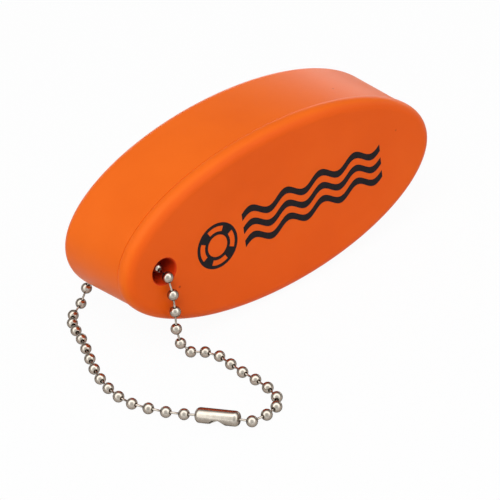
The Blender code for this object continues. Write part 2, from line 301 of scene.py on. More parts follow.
# %% [markdown]
# The sky is white where the camera looks at it, and a soft grey where it lights things. The floor
# is pale and shows the object's soft shadow. To the camera it is nearly clear, so that the white
# behind it shows, and so does a chain that swings below the float's foot. In reflections it
# gleams a little, as a white sweep does.

# %% Set the sky and the floor
SKY_LEVEL = 0.42
FLOOR_COLOUR = (0.76, 0.76, 0.76, 1.0)
FLOOR_CLEAR_SHARE = 0.96
FLOOR_GLEAM_SHARE = 0.18
FLOOR_SIZE = 6.0


def put_in_scene(name, bm):
    """Writes a bmesh to a new object at the origin, and frees it."""
    mesh = bpy.data.meshes.new(name)
    bm.to_mesh(mesh)
    bm.free()
    made = bpy.data.objects.new(name, mesh)
    bpy.context.collection.objects.link(made)
    return made


def make_sky():
    """White to the camera, and a soft even grey for lighting."""
    world = bpy.data.worlds.new("sky")
    bpy.context.scene.world = world
    tree = Tree(world)
    seen = tree.node("ShaderNodeLightPath", output="Is Camera Ray")
    level = SKY_LEVEL + seen * (1.0 - SKY_LEVEL)
    light = tree.node("ShaderNodeBackground", inputs={"Color": level, "Strength": 1.0})
    tree.node("ShaderNodeOutputWorld", inputs={"Surface": light})


def floor_material():
    """Pale paint that turns nearly clear for the camera and gleams in mirrors."""
    made, tree = new_material("pale_floor")
    paint = tree.node("ShaderNodeBsdfDiffuse", inputs={"Color": FLOOR_COLOUR})
    gleam = tree.node("ShaderNodeEmission", inputs={"Color": WHITE, "Strength": 1.0})
    clear = tree.node("ShaderNodeBsdfTransparent")
    seen = tree.node("ShaderNodeLightPath", output="Is Camera Ray") * FLOOR_CLEAR_SHARE
    mirrored = tree.node("ShaderNodeLightPath", output="Is Glossy Ray") * FLOOR_GLEAM_SHARE
    body = tree.node("ShaderNodeMixShader", inputs={0: mirrored, 1: paint, 2: gleam})
    whole = tree.node("ShaderNodeMixShader", inputs={0: seen, 1: body, 2: clear})
    tree.node("ShaderNodeOutputMaterial", inputs={"Surface": whole})
    return made


def make_floor():
    """One large square on which the object stands."""
    bm = bmesh.new()
    bmesh.ops.create_grid(bm, x_segments=1, y_segments=1, size=FLOOR_SIZE / 2)
    floor = put_in_scene("floor", bm)
    floor.data.materials.append(floor_material())
    floor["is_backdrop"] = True


make_sky()
make_floor()
print("floor's side in m", FLOOR_SIZE)

# %% [markdown]
# Most of what follows is round, so it is turned, as on a lathe: a profile is drawn as points and
# edges in one plane and spun about the Z axis. The last step meets the first and the points on the
# axis coincide, so both are merged, and the faces are then made to point outwards.

# %% Turn a profile
TURNING_MERGE = 1e-7


def turned(profile, segments, closed=True):
    """Turns a profile of (radius, height) points round the Z axis."""
    bm = bmesh.new()
    points = [bm.verts.new((radius, 0.0, height)) for radius, height in profile]
    edges = [bm.edges.new(pair) for pair in zip(points, points[1:])]
    if closed:
        edges.append(bm.edges.new((points[-1], points[0])))
    bmesh.ops.spin(bm, geom=points + edges, cent=(0, 0, 0), axis=(0, 0, 1), angle=math.tau,
                   steps=segments, use_merge=True)
    bmesh.ops.remove_doubles(bm, verts=bm.verts, dist=TURNING_MERGE)
    bmesh.ops.recalc_face_normals(bm, faces=bm.faces)
    return bm


def arc(centre, radius, start, end, steps):
    """Points of an arc in a profile's plane, angles in degrees from the radius direction."""
    out = []
    for step in range(steps + 1):
        angle = math.radians(start + (end - start) * step / steps)
        out.append((centre[0] + radius * math.cos(angle), centre[1] + radius * math.sin(angle)))
    return out


# %% [markdown]
# Polished metal shows the room more than it shows its own colour. Small metal things are
# photographed in a tent of white cloth: it is grey round the lens, bright in a wide ring beyond
# that and overhead, and dark at the back, so that bright metal keeps an outline against a white
# ground. Low down at the back the white sweep shows again. This tent is a dome that stores its
# brightness at its corners. Only reflections see it, so it casts no shadow and stays out of every
# view.

# %% Put up the reflection tent
TENT_RADIUS = 1.6
TENT_RINGS = 40
TENT_SEGMENTS = 96
# Brightness at degrees from the lens, at degrees of height, and of the sweep at degrees of height.
FROM_LENS = ((0, 0.66), (16, 0.72), (30, 1.02), (38, 1.22), (44, 2.05), (58, 2.15), (66, 1.60),
             (76, 0.95), (86, 0.45), (98, 0.20), (180, 0.15))
BY_HEIGHT = ((0, 0.55), (10, 0.70), (30, 0.97), (60, 1.0), (75, 1.10), (90, 1.15))
SWEEP_LEVEL = ((0, 3.2), (8, 2.4), (17, 0.4), (27, 0.0))
SWEEP_START = 105.0
SWEEP_FULL = 130.0


def along_stops(stops, value):
    """Reads a value between stops."""
    return float(np.interp(value, [stop[0] for stop in stops], [stop[1] for stop in stops]))


def tent_level(direction, lens):
    """Brightness of the tent in one direction, from its angle to the lens and its height."""
    away = math.degrees(direction.angle(lens))
    height = math.degrees(math.asin(min(max(direction.z, 0.0), 1.0)))
    cloth = along_stops(FROM_LENS, away) * along_stops(BY_HEIGHT, height)
    share = min(max((away - SWEEP_START) / (SWEEP_FULL - SWEEP_START), 0.0), 1.0)
    return cloth + share * along_stops(SWEEP_LEVEL, height)


def tent_material():
    """Cloth that glows as brightly as its corners say."""
    made, tree = new_material("tent_cloth")
    stored = tree.node("ShaderNodeAttribute", {"attribute_name": "level"}, output="Fac")
    glow = tree.node("ShaderNodeEmission", inputs={"Color": stored, "Strength": 1.0})
    tree.node("ShaderNodeOutputMaterial", inputs={"Surface": glow})
    return made


def hang_tent():
    """The dome, its brightness stored at its corners."""
    tent = put_in_scene("tent", turned(arc((0, 0), TENT_RADIUS, 0, 90, TENT_RINGS),
                                       TENT_SEGMENTS, closed=False))
    lens = camera.location.normalized()
    level = tent.data.attributes.new("level", "FLOAT", "POINT")
    for vert, item in zip(tent.data.vertices, level.data):
        item.value = tent_level(vert.co.normalized(), lens)
    tent.data.materials.append(tent_material())
    tent.visible_camera = False
    tent.visible_diffuse = False
    tent.visible_shadow = False
    tent.visible_transmission = False
    tent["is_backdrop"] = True
    return tent


print("tent corners", len(hang_tent().data.vertices))

# %% [markdown]
# Every finished piece is a mesh whose object sits at the origin, as the frame's own nodes do. The
# helpers below turn a bmesh into such a piece, let it ride on its body, give it its material and
# hide the nodes it stands in for. Others extrude and bevel, or cut hidden shapes away with
# Booleans. A cut can leave corners almost on top of each other. A bevel beside such a sliver folds
# over or shrinks to nothing, so the corners are joined first.

# %% Piece helpers
SMOOTH_ANGLE = math.radians(40)


def shade(mesh):
    """Smooth shading, with a crease where faces meet at more than the smooth angle."""
    mesh.shade_smooth()
    mesh.set_sharp_from_angle(angle=SMOOTH_ANGLE)


def finish_piece(name, bm, surface, body, nodes=()):
    """Makes an object of a bmesh, shades it, and ties it to the frame."""
    piece = put_in_scene(name, bm)
    shade(piece.data)
    piece.data.materials.append(surface)
    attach(piece, body)
    if nodes:
        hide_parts(*nodes)
    return piece


def extrude_by(bm, faces, move):
    """Extrudes faces along a vector and returns the new end faces."""
    made = bmesh.ops.extrude_face_region(bm, geom=faces)["geom"]
    verts = [item for item in made if isinstance(item, bmesh.types.BMVert)]
    bmesh.ops.translate(bm, vec=move, verts=verts)
    return [item for item in made if isinstance(item, bmesh.types.BMFace)]


def round_edges(bm, edges, radius, segments):
    """Bevels edges to a round of the radius given."""
    bmesh.ops.bevel(bm, geom=edges, offset=radius, offset_type="OFFSET", segments=segments,
                    profile=0.5, affect="EDGES", material=-1)


# %% Cutting helpers


def cut_away(piece, cutters):
    """Takes hidden shapes out of a piece and deletes them."""
    for cutter in cutters:
        piece.modifiers.new(cutter.name, "BOOLEAN").object = cutter
    bpy.context.view_layer.update()
    shaped = piece.evaluated_get(bpy.context.evaluated_depsgraph_get())
    mesh = bpy.data.meshes.new_from_object(shaped)
    piece.modifiers.clear()
    piece.data = mesh
    for cutter in cutters:
        bpy.data.objects.remove(cutter)


def join_slivers(bm, distance):
    """Joins corners that a cut has left almost on top of each other."""
    bmesh.ops.remove_doubles(bm, verts=bm.verts, dist=distance)
    bmesh.ops.dissolve_degenerate(bm, dist=distance / 2, edges=bm.edges)


def rework(piece, work):
    """Opens a piece's mesh, works on it and writes it back."""
    bm = bmesh.new()
    bm.from_mesh(piece.data)
    work(bm)
    bm.to_mesh(piece.data)
    bm.free()


# %% [markdown]
# The float is closed-cell foam with a moulded skin: matt, even in colour, with a very fine grain,
# a few tiny pores and a slight cloudiness where the skin is thicker. The flat face, which takes
# the print, is a shade deeper than the wall, and the change lies in the rounded edge between them.
# The hole is painted a deeper colour still, as painted shade and bounce light between its orange
# walls, and the pores are painted darker, as painted shade in their pits. The grain is bump only,
# because it is finer than a mesh could hold, and the shader's own gloss gives the pale sheen that
# the wall shows at low angles.

# %% Foam finish
CLOUD_STOPS = (0.3, 0.5, 0.72)
FACE_TONES = (rgba(232, 90, 13), rgba(236, 93, 15), rgba(239, 97, 18))
WALL_TONES = (rgba(236, 101, 15), rgba(240, 105, 17), rgba(244, 109, 20))
# Painted shade: the pores' darker colour and the hole's deeper colour stand in for shade and bounce
# light.
PORE_PAINTED_SHADE = rgba(150, 44, 10)
BORE_PAINTED_SHADE = rgba(206, 54, 12)
BORE_REACH = 3.1 * MM
FACE_DEPTH = 0.2 * MM
WALL_DEPTH = 1.2 * MM
CLOUD_SCALE = 45.0
GRAIN_SCALE = 2200.0
CELL_SCALE = 900.0
PORE_SCALE = 95.0
PORE_EDGE = 0.035
PORE_FLOOR = 0.02
PORE_SHADE_SHARE = 0.6
GRAIN_HEIGHT = 0.5
CELL_HEIGHT = 0.5
PORE_HEIGHT = 1.5
FOAM_RELIEF = 0.08 * MM
FOAM_BUMP = 0.12
FOAM_ROUGHNESS = 0.30
CLOUD_ROUGHNESS = 0.08
GRAIN_ROUGHNESS = 0.04
FOAM_GLOSS = 0.11


def foam_colour(tree, place, clouds, pores):
    """Face and wall in cloudy tones, with painted shade in the hole and in the pores."""
    along, depth, height = (tree.node("ShaderNodeSeparateXYZ", inputs={"Vector": place},
                                      output=axis) for axis in "XYZ")
    off_along, off_height = along - hole_place.x, height - hole_place.z
    in_bore = (off_along * off_along + off_height * off_height).less_than(BORE_REACH ** 2)
    face, wall = (tree.node("ShaderNodeValToRGB", {"stops": list(zip(CLOUD_STOPS, tones))},
                            {"Fac": clouds}) for tones in (FACE_TONES, WALL_TONES))
    on_wall = ease(tree, depth, float_low.y + FACE_DEPTH, float_low.y + WALL_DEPTH)
    skin = mix_colour(tree, on_wall, face, wall)
    # Painted shade in the hole and in the pores, mixed over the skin.
    return mix_colour(tree, pores * PORE_SHADE_SHARE, mix_colour(tree, in_bore, skin, BORE_PAINTED_SHADE),
                      PORE_PAINTED_SHADE)


def foam_material():
    """Orange foam skin: cloudy colour, fine grain and a few pores."""
    made, tree = new_material("orange_foam_skin")
    place = tree.node("ShaderNodeTexCoord", output="Object")
    clouds = noise(tree, place, CLOUD_SCALE, detail=3.0, roughness=0.5)
    grain = noise(tree, place, GRAIN_SCALE, detail=2.0, roughness=0.6)
    cells = tree.node("ShaderNodeTexVoronoi", inputs={"Vector": place, "Scale": CELL_SCALE})
    sparse = tree.node("ShaderNodeTexVoronoi", inputs={"Vector": place, "Scale": PORE_SCALE})
    pores = tree.node("ShaderNodeMapRange", inputs={
        "Value": sparse, "From Min": PORE_EDGE, "From Max": PORE_FLOOR})
    bump = tree.node("ShaderNodeBump", inputs={
        "Height": grain * GRAIN_HEIGHT + cells * CELL_HEIGHT - pores * PORE_HEIGHT,
        "Strength": FOAM_BUMP, "Distance": FOAM_RELIEF})
    shader = tree.node("ShaderNodeBsdfPrincipled", inputs={
        "Base Color": foam_colour(tree, place, clouds, pores),
        "Roughness": FOAM_ROUGHNESS + clouds * CLOUD_ROUGHNESS + grain * GRAIN_ROUGHNESS,
        "Normal": bump, "Specular IOR Level": FOAM_GLOSS})
    tree.node("ShaderNodeOutputMaterial", inputs={"Surface": shader})
    return made


orange_foam = foam_material()
print("foam nodes", len(orange_foam.node_tree.nodes))

# %% [markdown]
# The foam block starts as a disc stretched to the oval. It is extruded back by the rim's width,
# inset by the small step that its mould leaves and the depth of a fine groove, and extruded again,
# first along the groove's floor, then up its far side, and last to the back, where the wall has
# spread a little. The oval starts smaller than the float's box, because the wall spreads to the
# box's full size. Bevels round the front edge, the back edge and the rim's own step.

# %% Shape the foam block
FRONT_EDGE_RADIUS = 2.4 * MM
BACK_EDGE_RADIUS = 2.6 * MM
RIM_WIDTH = 3.0 * MM
RIM_STEP = 0.25 * MM
STEP_SOFTNESS = 0.06 * MM
STEP_ANGLE = math.radians(30)
STEP_SEGMENTS = 3
GROOVE_WIDTH = 0.30 * MM
GROOVE_DEPTH = 0.30 * MM
GROOVE_SIDE = 0.15 * MM
WALL_SPREAD = 0.85 * MM
OVAL_INSET = 0.703 * MM
OVAL_SEGMENTS = 240
EDGE_SEGMENTS = 12
NEAR = 1e-6

oval_length = float_size.x - 2 * OVAL_INSET
oval_height = float_size.z - 2 * OVAL_INSET
# Takes a flat drawing, X along the float and Y up, to the float's front face.
front_face = (Matrix.Translation((float_centre.x, float_low.y, float_centre.z))
              @ Matrix.Rotation(math.radians(90), 4, "X"))


def edges_in_plane(bm, y_place):
    """Edges that lie in the plane y = y_place."""
    return [edge for edge in bm.edges
            if all(abs(vert.co.y - y_place) < NEAR for vert in edge.verts)]


def spread_outline(faces, distance):
    """Moves the outline of end faces outwards, square to the oval, so that the wall leans."""
    for vert in {vert for face in faces for vert in face.verts}:
        away = Vector(((vert.co.x - float_centre.x) / oval_length ** 2, 0.0,
                       (vert.co.z - float_centre.z) / oval_height ** 2)).normalized()
        vert.co += away * distance


def foam_block():
    """The float's outside: rim, groove, leaning wall and rounded edges."""
    bm = bmesh.new()
    bmesh.ops.create_circle(bm, cap_ends=True, segments=OVAL_SEGMENTS, radius=0.5)
    stretch = Matrix.Diagonal((oval_length, oval_height, 1.0, 1.0))
    bmesh.ops.transform(bm, matrix=front_face @ stretch, verts=bm.verts)
    back = extrude_by(bm, bm.faces[:], (0, RIM_WIDTH, 0))
    bmesh.ops.inset_individual(bm, faces=back, thickness=RIM_STEP + GROOVE_DEPTH,
                               use_even_offset=True)
    wall_depth = float_size.y - RIM_WIDTH - GROOVE_WIDTH - GROOVE_SIDE
    for depth, spread in ((GROOVE_WIDTH, 0.0), (GROOVE_SIDE, GROOVE_DEPTH),
                          (wall_depth, RIM_STEP + WALL_SPREAD)):
        ends = extrude_by(bm, back, (0, depth, 0))
        bmesh.ops.delete(bm, geom=back, context="FACES_ONLY")
        spread_outline(ends, spread)
        back = ends
    bmesh.ops.recalc_face_normals(bm, faces=bm.faces)
    round_edges(bm, edges_in_plane(bm, float_low.y), FRONT_EDGE_RADIUS, EDGE_SEGMENTS)
    round_edges(bm, edges_in_plane(bm, float_high.y), BACK_EDGE_RADIUS, EDGE_SEGMENTS)
    step_edges = [edge for edge in edges_in_plane(bm, float_low.y + RIM_WIDTH)
                  if edge.calc_face_angle(0) > STEP_ANGLE and edge.is_convex]
    round_edges(bm, step_edges, STEP_SOFTNESS, STEP_SEGMENTS)
    print("rim step edges", len(step_edges))
    return bm


# %% [markdown]
# The hole is a turned bar with flared ends, taken out with a Boolean, so its mouths are soft. The
# bar stands a little past both faces, because a cutter that ends in the plane it should cut
# through leaves a skin. The flat faces are left with flat shading, so that the rounded edges don't
# pull their shade inwards.

# %% Cut the hole and finish the float
HOLE_RADIUS = 2.8 * MM
MOUTH_RADIUS = 0.5 * MM
MOUTH_STEPS = 8
HOLE_SEGMENTS = 72
FOAM_SLIVER = 0.001 * MM
MOST_CORNERS = 8


def hole_bar():
    """The bar that cuts the hole, with flared ends."""
    half = float_size.y / 2
    wide = HOLE_RADIUS + MOUTH_RADIUS
    past = half + MOUTH_RADIUS
    front = arc((wide, half - MOUTH_RADIUS), MOUTH_RADIUS, 180, 90, MOUTH_STEPS)
    back = [(radius, -height) for radius, height in reversed(front)]
    profile = [(0, past), (wide, past)] + front[::-1] + back[::-1] + [(wide, -past), (0, -past)]
    bm = turned(profile, HOLE_SEGMENTS, closed=False)
    middle = Vector((hole_place.x, float_centre.y, hole_place.z))
    lay = Matrix.Translation(middle) @ Matrix.Rotation(math.radians(90), 4, "X")
    bmesh.ops.transform(bm, matrix=lay, verts=bm.verts)
    return put_in_scene("hole_bar", bm)


def make_float(surface):
    """The foam block with its hole."""
    piece = finish_piece("foam_float", foam_block(), surface, "float", ["float_body"])
    cut_away(piece, [hole_bar()])
    rework(piece, lambda bm: join_slivers(bm, FOAM_SLIVER))
    for face in piece.data.polygons:
        if len(face.vertices) > MOST_CORNERS:
            face.use_smooth = False
    return piece


foam_float = make_float(orange_foam)
print("float faces", len(foam_float.data.polygons))

# %% [markdown]
# The chain is nickel-plated: pressed hollow balls on short wire links with a head at each end. The
# plating is a warm silver, a little cloudy from handling, with faint scratches. A rough coat lies
# over the polished plate like a haze, for a worn look, and softens what it mirrors. The plate's
# colour is painted darker where it turns away from view, which Layer Weight finds, and a dark edge
# tint dims its reflections there. Both are painted shade, so that each ball keeps a dark outline.

# %% Nickel finish
PLATE_STOPS = (0.32, 0.62)
PLATE_TONES = (rgba(190, 181, 167), rgba(207, 199, 186))
# Painted shade: the dark edge tint and the darker colour where the plate turns away from view give
# each ball its dark outline.
RIM_SHADE_EDGE_TINT = (0.05, 0.035, 0.025, 1.0)
RIM_PAINTED_SHADE = (0.70, 0.65, 0.62, 1.0)
TURN_START = 0.06
TURN_FULL = 0.34
HAZE = 0.8
HAZE_ROUGHNESS = 0.5
BALL_CLOUDS = 900.0
SLEEVE_CLOUDS = 1100.0
WEAR_FINENESS = 9
WEAR_RELIEF = 0.02 * MM
WEAR_BUMP = 0.10
PLATE_ROUGHNESS = 0.07
CLOUD_DULLING = 0.12


def nickel_material(name, cloud_scale):
    """Nickel plate, slightly cloudy, with fine wear and a painted dark outline."""
    made, tree = new_material(name)
    place = tree.node("ShaderNodeTexCoord", output="Object")
    clouds = noise(tree, place, cloud_scale, detail=4.0, roughness=0.6)
    wear = noise(tree, place, cloud_scale * WEAR_FINENESS, detail=3.0, roughness=0.7)
    plate = tree.node("ShaderNodeValToRGB", {"stops": list(zip(PLATE_STOPS, PLATE_TONES))},
                      {"Fac": clouds})
    # Painted shade: the plate's colour goes darker where it turns away from view.
    facing = tree.node("ShaderNodeLayerWeight", output="Facing")
    rim_shade_tint = mix_colour(tree, ease(tree, facing, TURN_START, TURN_FULL), WHITE, RIM_PAINTED_SHADE)
    bump = tree.node("ShaderNodeBump", inputs={
        "Height": wear, "Strength": WEAR_BUMP, "Distance": WEAR_RELIEF})
    shader = tree.node("ShaderNodeBsdfPrincipled", inputs={
        "Base Color": mix_colour(tree, 1.0, plate, rim_shade_tint, "MULTIPLY"), "Metallic": 1.0,
        "Roughness": PLATE_ROUGHNESS + clouds * CLOUD_DULLING, "Normal": bump,
        "Specular Tint": RIM_SHADE_EDGE_TINT, "Coat Weight": HAZE, "Coat Roughness": HAZE_ROUGHNESS})
    tree.node("ShaderNodeOutputMaterial", inputs={"Surface": shader})
    return made


ball_nickel = nickel_material("ball_nickel", BALL_CLOUDS)
sleeve_nickel = nickel_material("sleeve_nickel", SLEEVE_CLOUDS)
print("nickel nodes", len(ball_nickel.node_tree.nodes))

# %% [markdown]
# The frame's balls are plain stand-ins, but each is exactly where the real one lies. Its centre is
# found by letting a point drift until the node's ball corners lie on two spheres round it, the
# outer skin and the cavity. Which of the two a corner belongs to shows in the way it faces: away
# from the centre on the skin, towards it in the cavity. The wire link's sides face across, and its
# far corners are out of reach, so neither takes part.

# %% Find the ball centres
BALL_RADIUS = 1.2 * MM
CAVITY_RADIUS = 1.0 * MM
LINK_LIMIT = 1.3 * MM
FACING_LEAST = 0.8
DRIFT_STEPS = 80
DRIFT_GAIN = 2


def ball_centre(node):
    """Centre of the two spheres that a chain node's ball corners lie on, and the error left."""
    stand = node.matrix_world
    corners = np.array([tuple(stand @ vert.co) for vert in node.data.vertices])
    facing = np.array([tuple(stand.to_3x3() @ vert.normal) for vert in node.data.vertices])
    centre = np.median(corners, axis=0)
    for _ in range(DRIFT_STEPS):
        away = corners - centre
        reach = np.linalg.norm(away, axis=1)
        outward = (away * facing).sum(axis=1) / reach
        near = (reach < LINK_LIMIT) & (np.abs(outward) > FACING_LEAST)
        wanted = np.where(outward > 0, BALL_RADIUS, CAVITY_RADIUS)
        pull = (1 - wanted[near] / reach[near])[:, None] * away[near]
        centre = centre + pull.mean(axis=0) * DRIFT_GAIN
    error = np.abs(reach[near] - wanted[near]).max()
    return Vector(centre), error


middle_names = sorted(name for name in frame["nodes"] if name.startswith("ball_"))
chain_names = ["front_end_ball"] + middle_names + ["back_end_ball"]
found = [ball_centre(frame["nodes"][name]) for name in chain_names]
ball_places = [place for place, _ in found]
print("balls", len(ball_places), "largest error in mm", in_mm([max(e for _, e in found)], 4))

# %% [markdown]
# Each ball is pressed from strip, so its two openings are slightly drawn in with a rounded lip.
# The profile goes round the outer skin, over a lip, back along the cavity and over the other lip,
# and a spin turns it. Both ends then slide over the ball so that they face the neighbours, as the
# openings of a bent chain do: fully near the opening, and less and less towards the ball's waist.

# %% Model a ball
OPENING_RADIUS = 0.42 * MM
SKIN_STEPS = 22
CAVITY_STEPS = 14
LIP_STEPS = 5
BEND_FULL = math.radians(25)
BEND_NONE = math.radians(75)


def ball_profile():
    """Wall of a ball between its two openings, with rounded lips."""
    middle_radius = (BALL_RADIUS + CAVITY_RADIUS) / 2
    half_wall = (BALL_RADIUS - CAVITY_RADIUS) / 2
    rim = math.degrees(math.asin((OPENING_RADIUS + half_wall) / middle_radius))
    lip = (middle_radius * math.sin(math.radians(rim)),
           middle_radius * math.cos(math.radians(rim)))
    outer = arc((0, 0), BALL_RADIUS, 90 - rim, rim - 90, SKIN_STEPS)
    lower_lip = arc((lip[0], -lip[1]), half_wall, rim - 90, rim - 270, LIP_STEPS)[1:-1]
    inner = arc((0, 0), CAVITY_RADIUS, rim - 90, 90 - rim, CAVITY_STEPS)
    upper_lip = arc(lip, half_wall, 270 - rim, 90 - rim, LIP_STEPS)[1:-1]
    return outer + lower_lip + inner + upper_lip


def face_neighbours(bm, exit_turn, entry_turn):
    """Slides both ends of a ball over its skin, so that each faces the neighbour it meets."""
    for vert in bm.verts:
        above = vert.co.z > 0
        polar = vert.co.angle(Vector((0, 0, 1 if above else -1)))
        share = min(max((BEND_NONE - polar) / (BEND_NONE - BEND_FULL), 0), 1)
        vert.co.rotate(Quaternion().slerp(exit_turn if above else entry_turn, share))


print("points round a ball's wall", len(ball_profile()))

# %% [markdown]
# A link is a wire with a riveted head inside both balls that it joins. When the chain is pulled
# straight the heads touch the lips, and when it is slack they slip inwards, evenly at both ends.

# %% Model a link
WIRE_RADIUS = 0.22 * MM
HEAD_RADIUS = 0.52 * MM
HEAD_HALF_LENGTH = 0.3 * MM
# A head's radii, with their distances in mm inwards from its tip and then from its middle.
HEAD_ROUND = ((0.0, 0.0), (HEAD_RADIUS * 0.55, 0.04), (HEAD_RADIUS * 0.9, 0.14))
HEAD_NECK = ((HEAD_RADIUS, 0.0), (HEAD_RADIUS * 0.85, 0.16), (WIRE_RADIUS * 1.3, 0.26),
             (WIRE_RADIUS, 0.36))


def link_profile(first_head, last_head):
    """Wire link along Z, with a rounded head at each end."""
    def head(height, way):
        tip = height + way * HEAD_HALF_LENGTH
        return ([(radius, tip - way * inwards * MM) for radius, inwards in HEAD_ROUND]
                + [(radius, height - way * inwards * MM) for radius, inwards in HEAD_NECK])
    return head(last_head, 1) + head(first_head, -1)[::-1]


print("points along a link", len(link_profile(0.0, 1.0)))

# %% [markdown]
# A ball and the link that leaves it make one piece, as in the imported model. The ball's axis lies
# halfway between the ways in which the chain arrives and leaves.

# %% String the chain
PULLED_PITCH = 4.05 * MM
HEAD_TRAVEL = 0.6 * MM
BALL_SEGMENTS = 36
LINK_SEGMENTS = 20


def add_shape(bm, shape, matrix):
    """Moves one bmesh into place and adds it to another."""
    bmesh.ops.transform(shape, matrix=matrix, verts=shape.verts)
    mesh = bpy.data.meshes.new("shape")
    shape.to_mesh(mesh)
    shape.free()
    bm.from_mesh(mesh)
    bpy.data.meshes.remove(mesh)


def make_ball(index, surface):
    """One ball with the link that leaves it, in place of its node."""
    place = ball_places[index]
    last = index == len(ball_places) - 1
    onward = None if last else ball_places[index + 1] - place
    back = place - ball_places[index - 1] if index else onward
    arriving = back.normalized()
    leaving = arriving if last else onward.normalized()
    turn = (arriving + leaving).normalized().to_track_quat("Z", "Y")
    up = Vector((0, 0, 1))
    shell = turned(ball_profile(), BALL_SEGMENTS)
    face_neighbours(shell, up.rotation_difference(turn.inverted() @ leaving),
                    (-up).rotation_difference(turn.inverted() @ -arriving))
    bm = bmesh.new()
    add_shape(bm, shell, Matrix.Translation(place) @ turn.to_matrix().to_4x4())
    if not last:
        pitch = onward.length
        last_head = (pitch + PULLED_PITCH) / 2 - HEAD_TRAVEL
        link = turned(link_profile(pitch - last_head, last_head), LINK_SEGMENTS, closed=False)
        lay = leaving.to_track_quat("Z", "Y").to_matrix().to_4x4()
        add_shape(bm, link, Matrix.Translation(place) @ lay)
    name = chain_names[index]
    return finish_piece("nickel_" + name, bm, surface, "chain", [name])


chain_pieces = [make_ball(index, ball_nickel) for index in range(len(ball_places))]
print("chain faces", sum(len(piece.data.polygons) for piece in chain_pieces))

# %% [markdown]
# The connector is a tube rolled from sheet. Its seam stays open for the links, its ends are drawn
# in so that the end balls can't slip out, and a wider mouth in the middle lets a ball in. A flat
# sheet could be bent round, but turning the closed tube first keeps its ends even.

# %% Turn the sleeve
SLEEVE_LENGTH = 9.3 * MM
SLEEVE_RADIUS = 1.6 * MM
SLEEVE_WALL = 0.25 * MM
SLEEVE_END_RADIUS = 1.0 * MM
SLEEVE_OPENING_RADIUS = 0.5 * MM
SLEEVE_SEGMENTS = 64
OUTER_END_STEPS = 12
INNER_END_STEPS = 10


def sleeve_profile():
    """Wall of the sleeve: outer skin, end openings and inner skin."""
    half = SLEEVE_LENGTH / 2
    corner = (SLEEVE_RADIUS - SLEEVE_END_RADIUS, half - SLEEVE_END_RADIUS)
    outer = ([(SLEEVE_OPENING_RADIUS, half)]
             + arc(corner, SLEEVE_END_RADIUS, 90, 0, OUTER_END_STEPS))
    inner = (arc(corner, SLEEVE_END_RADIUS - SLEEVE_WALL, 0, 90, INNER_END_STEPS)
             + [(SLEEVE_OPENING_RADIUS, half - SLEEVE_WALL)])
    lower = [(radius, -height) for radius, height in reversed(outer)]
    lower_inner = [(radius, -height) for radius, height in reversed(inner)]
    return outer + lower + lower_inner + inner


print("points round the sleeve's wall", len(sleeve_profile()))

# %% [markdown]
# A box cuts the seam and a squashed cylinder the mouth. The cut edges are then rounded, as a
# tumbled pressing's are, which gives them their thin gleam. The slivers that the cuts leave are
# joined before that, up to a length still far below the sheet's thickness.

# %% Cut the sleeve and soften its edges
SEAM_WIDTH = 0.6 * MM
SEAM_TURN = math.radians(-52.0)
MOUTH_WIDTH = 2.8 * MM
MOUTH_LENGTH = 3.7 * MM
MOUTH_SEGMENTS = 48
CUT_SOFTNESS = 0.025 * MM
CUT_SEGMENTS = 2
CUT_ANGLE = math.radians(50)
CUT_SLIVER = 0.06 * MM


def sleeve_cutters(place):
    """The seam's box and the mouth's squashed cylinder, on one side of the sleeve."""
    reach = SLEEVE_RADIUS * 2
    aside = place @ Matrix.Translation((reach / 2, 0, 0))
    seam = bmesh.new()
    bmesh.ops.create_cube(seam, size=1.0)
    mouth = bmesh.new()
    bmesh.ops.create_cone(mouth, cap_ends=True, segments=MOUTH_SEGMENTS, radius1=0.5, radius2=0.5,
                          depth=1.0, matrix=Matrix.Rotation(math.radians(90), 4, "Y"))
    made = []
    for name, bm, size in (("seam", seam, (reach, SEAM_WIDTH, SLEEVE_LENGTH * 2, 1)),
                           ("mouth", mouth, (reach, MOUTH_WIDTH, MOUTH_LENGTH, 1))):
        bmesh.ops.transform(bm, matrix=aside @ Matrix.Diagonal(size), verts=bm.verts)
        made.append(put_in_scene(name, bm))
    return made


def soften_cuts(bm):
    """Rounds the edges that the seam and the mouth have cut."""
    join_slivers(bm, CUT_SLIVER)
    cuts = [edge for edge in bm.edges if edge.calc_face_angle(0) > CUT_ANGLE]
    round_edges(bm, cuts, CUT_SOFTNESS, CUT_SEGMENTS)
    print("cut edges", len(cuts), "shortest edge in mm",
          in_mm([min(edge.calc_length() for edge in bm.edges)], 4),
          "open edges", sum(len(edge.link_faces) != 2 for edge in bm.edges))


def make_sleeve(surface):
    """The rolled connector with its seam and mouth."""
    bm = turned(sleeve_profile(), SLEEVE_SEGMENTS)
    lay = sleeve_axis.to_track_quat("Z", "Y").to_matrix().to_4x4()
    place = Matrix.Translation(sleeve_place) @ lay @ Matrix.Rotation(SEAM_TURN, 4, "Z")
    bmesh.ops.transform(bm, matrix=place, verts=bm.verts)
    piece = finish_piece("nickel_connector_sleeve", bm, surface, "connector",
                         ["connector_sleeve"])
    cut_away(piece, sleeve_cutters(place))
    rework(piece, soften_cuts)
    shade(piece.data)
    return piece


connector = make_sleeve(sleeve_nickel)
print("sleeve faces", len(connector.data.polygons))

# %% [markdown]
# The front carries a print in black ink. Here it is a plain marine motif, a life ring and three
# waved lines beside it, as a thin film of ink that lies on the foam. It could be painted by the
# foam's own material, but a film has crisp edges at any distance.

# %% Ink finish
INK_STOPS = (0.3, 0.75)
INK_TONES = (rgba(10, 8, 12), rgba(26, 23, 28))
INK_SCALE = 1500.0
INK_RELIEF = 0.05 * MM
INK_BUMP = 0.1
INK_ROUGHNESS = 0.45
INK_UNEVENNESS = 0.15
INK_GLOSS = 0.15


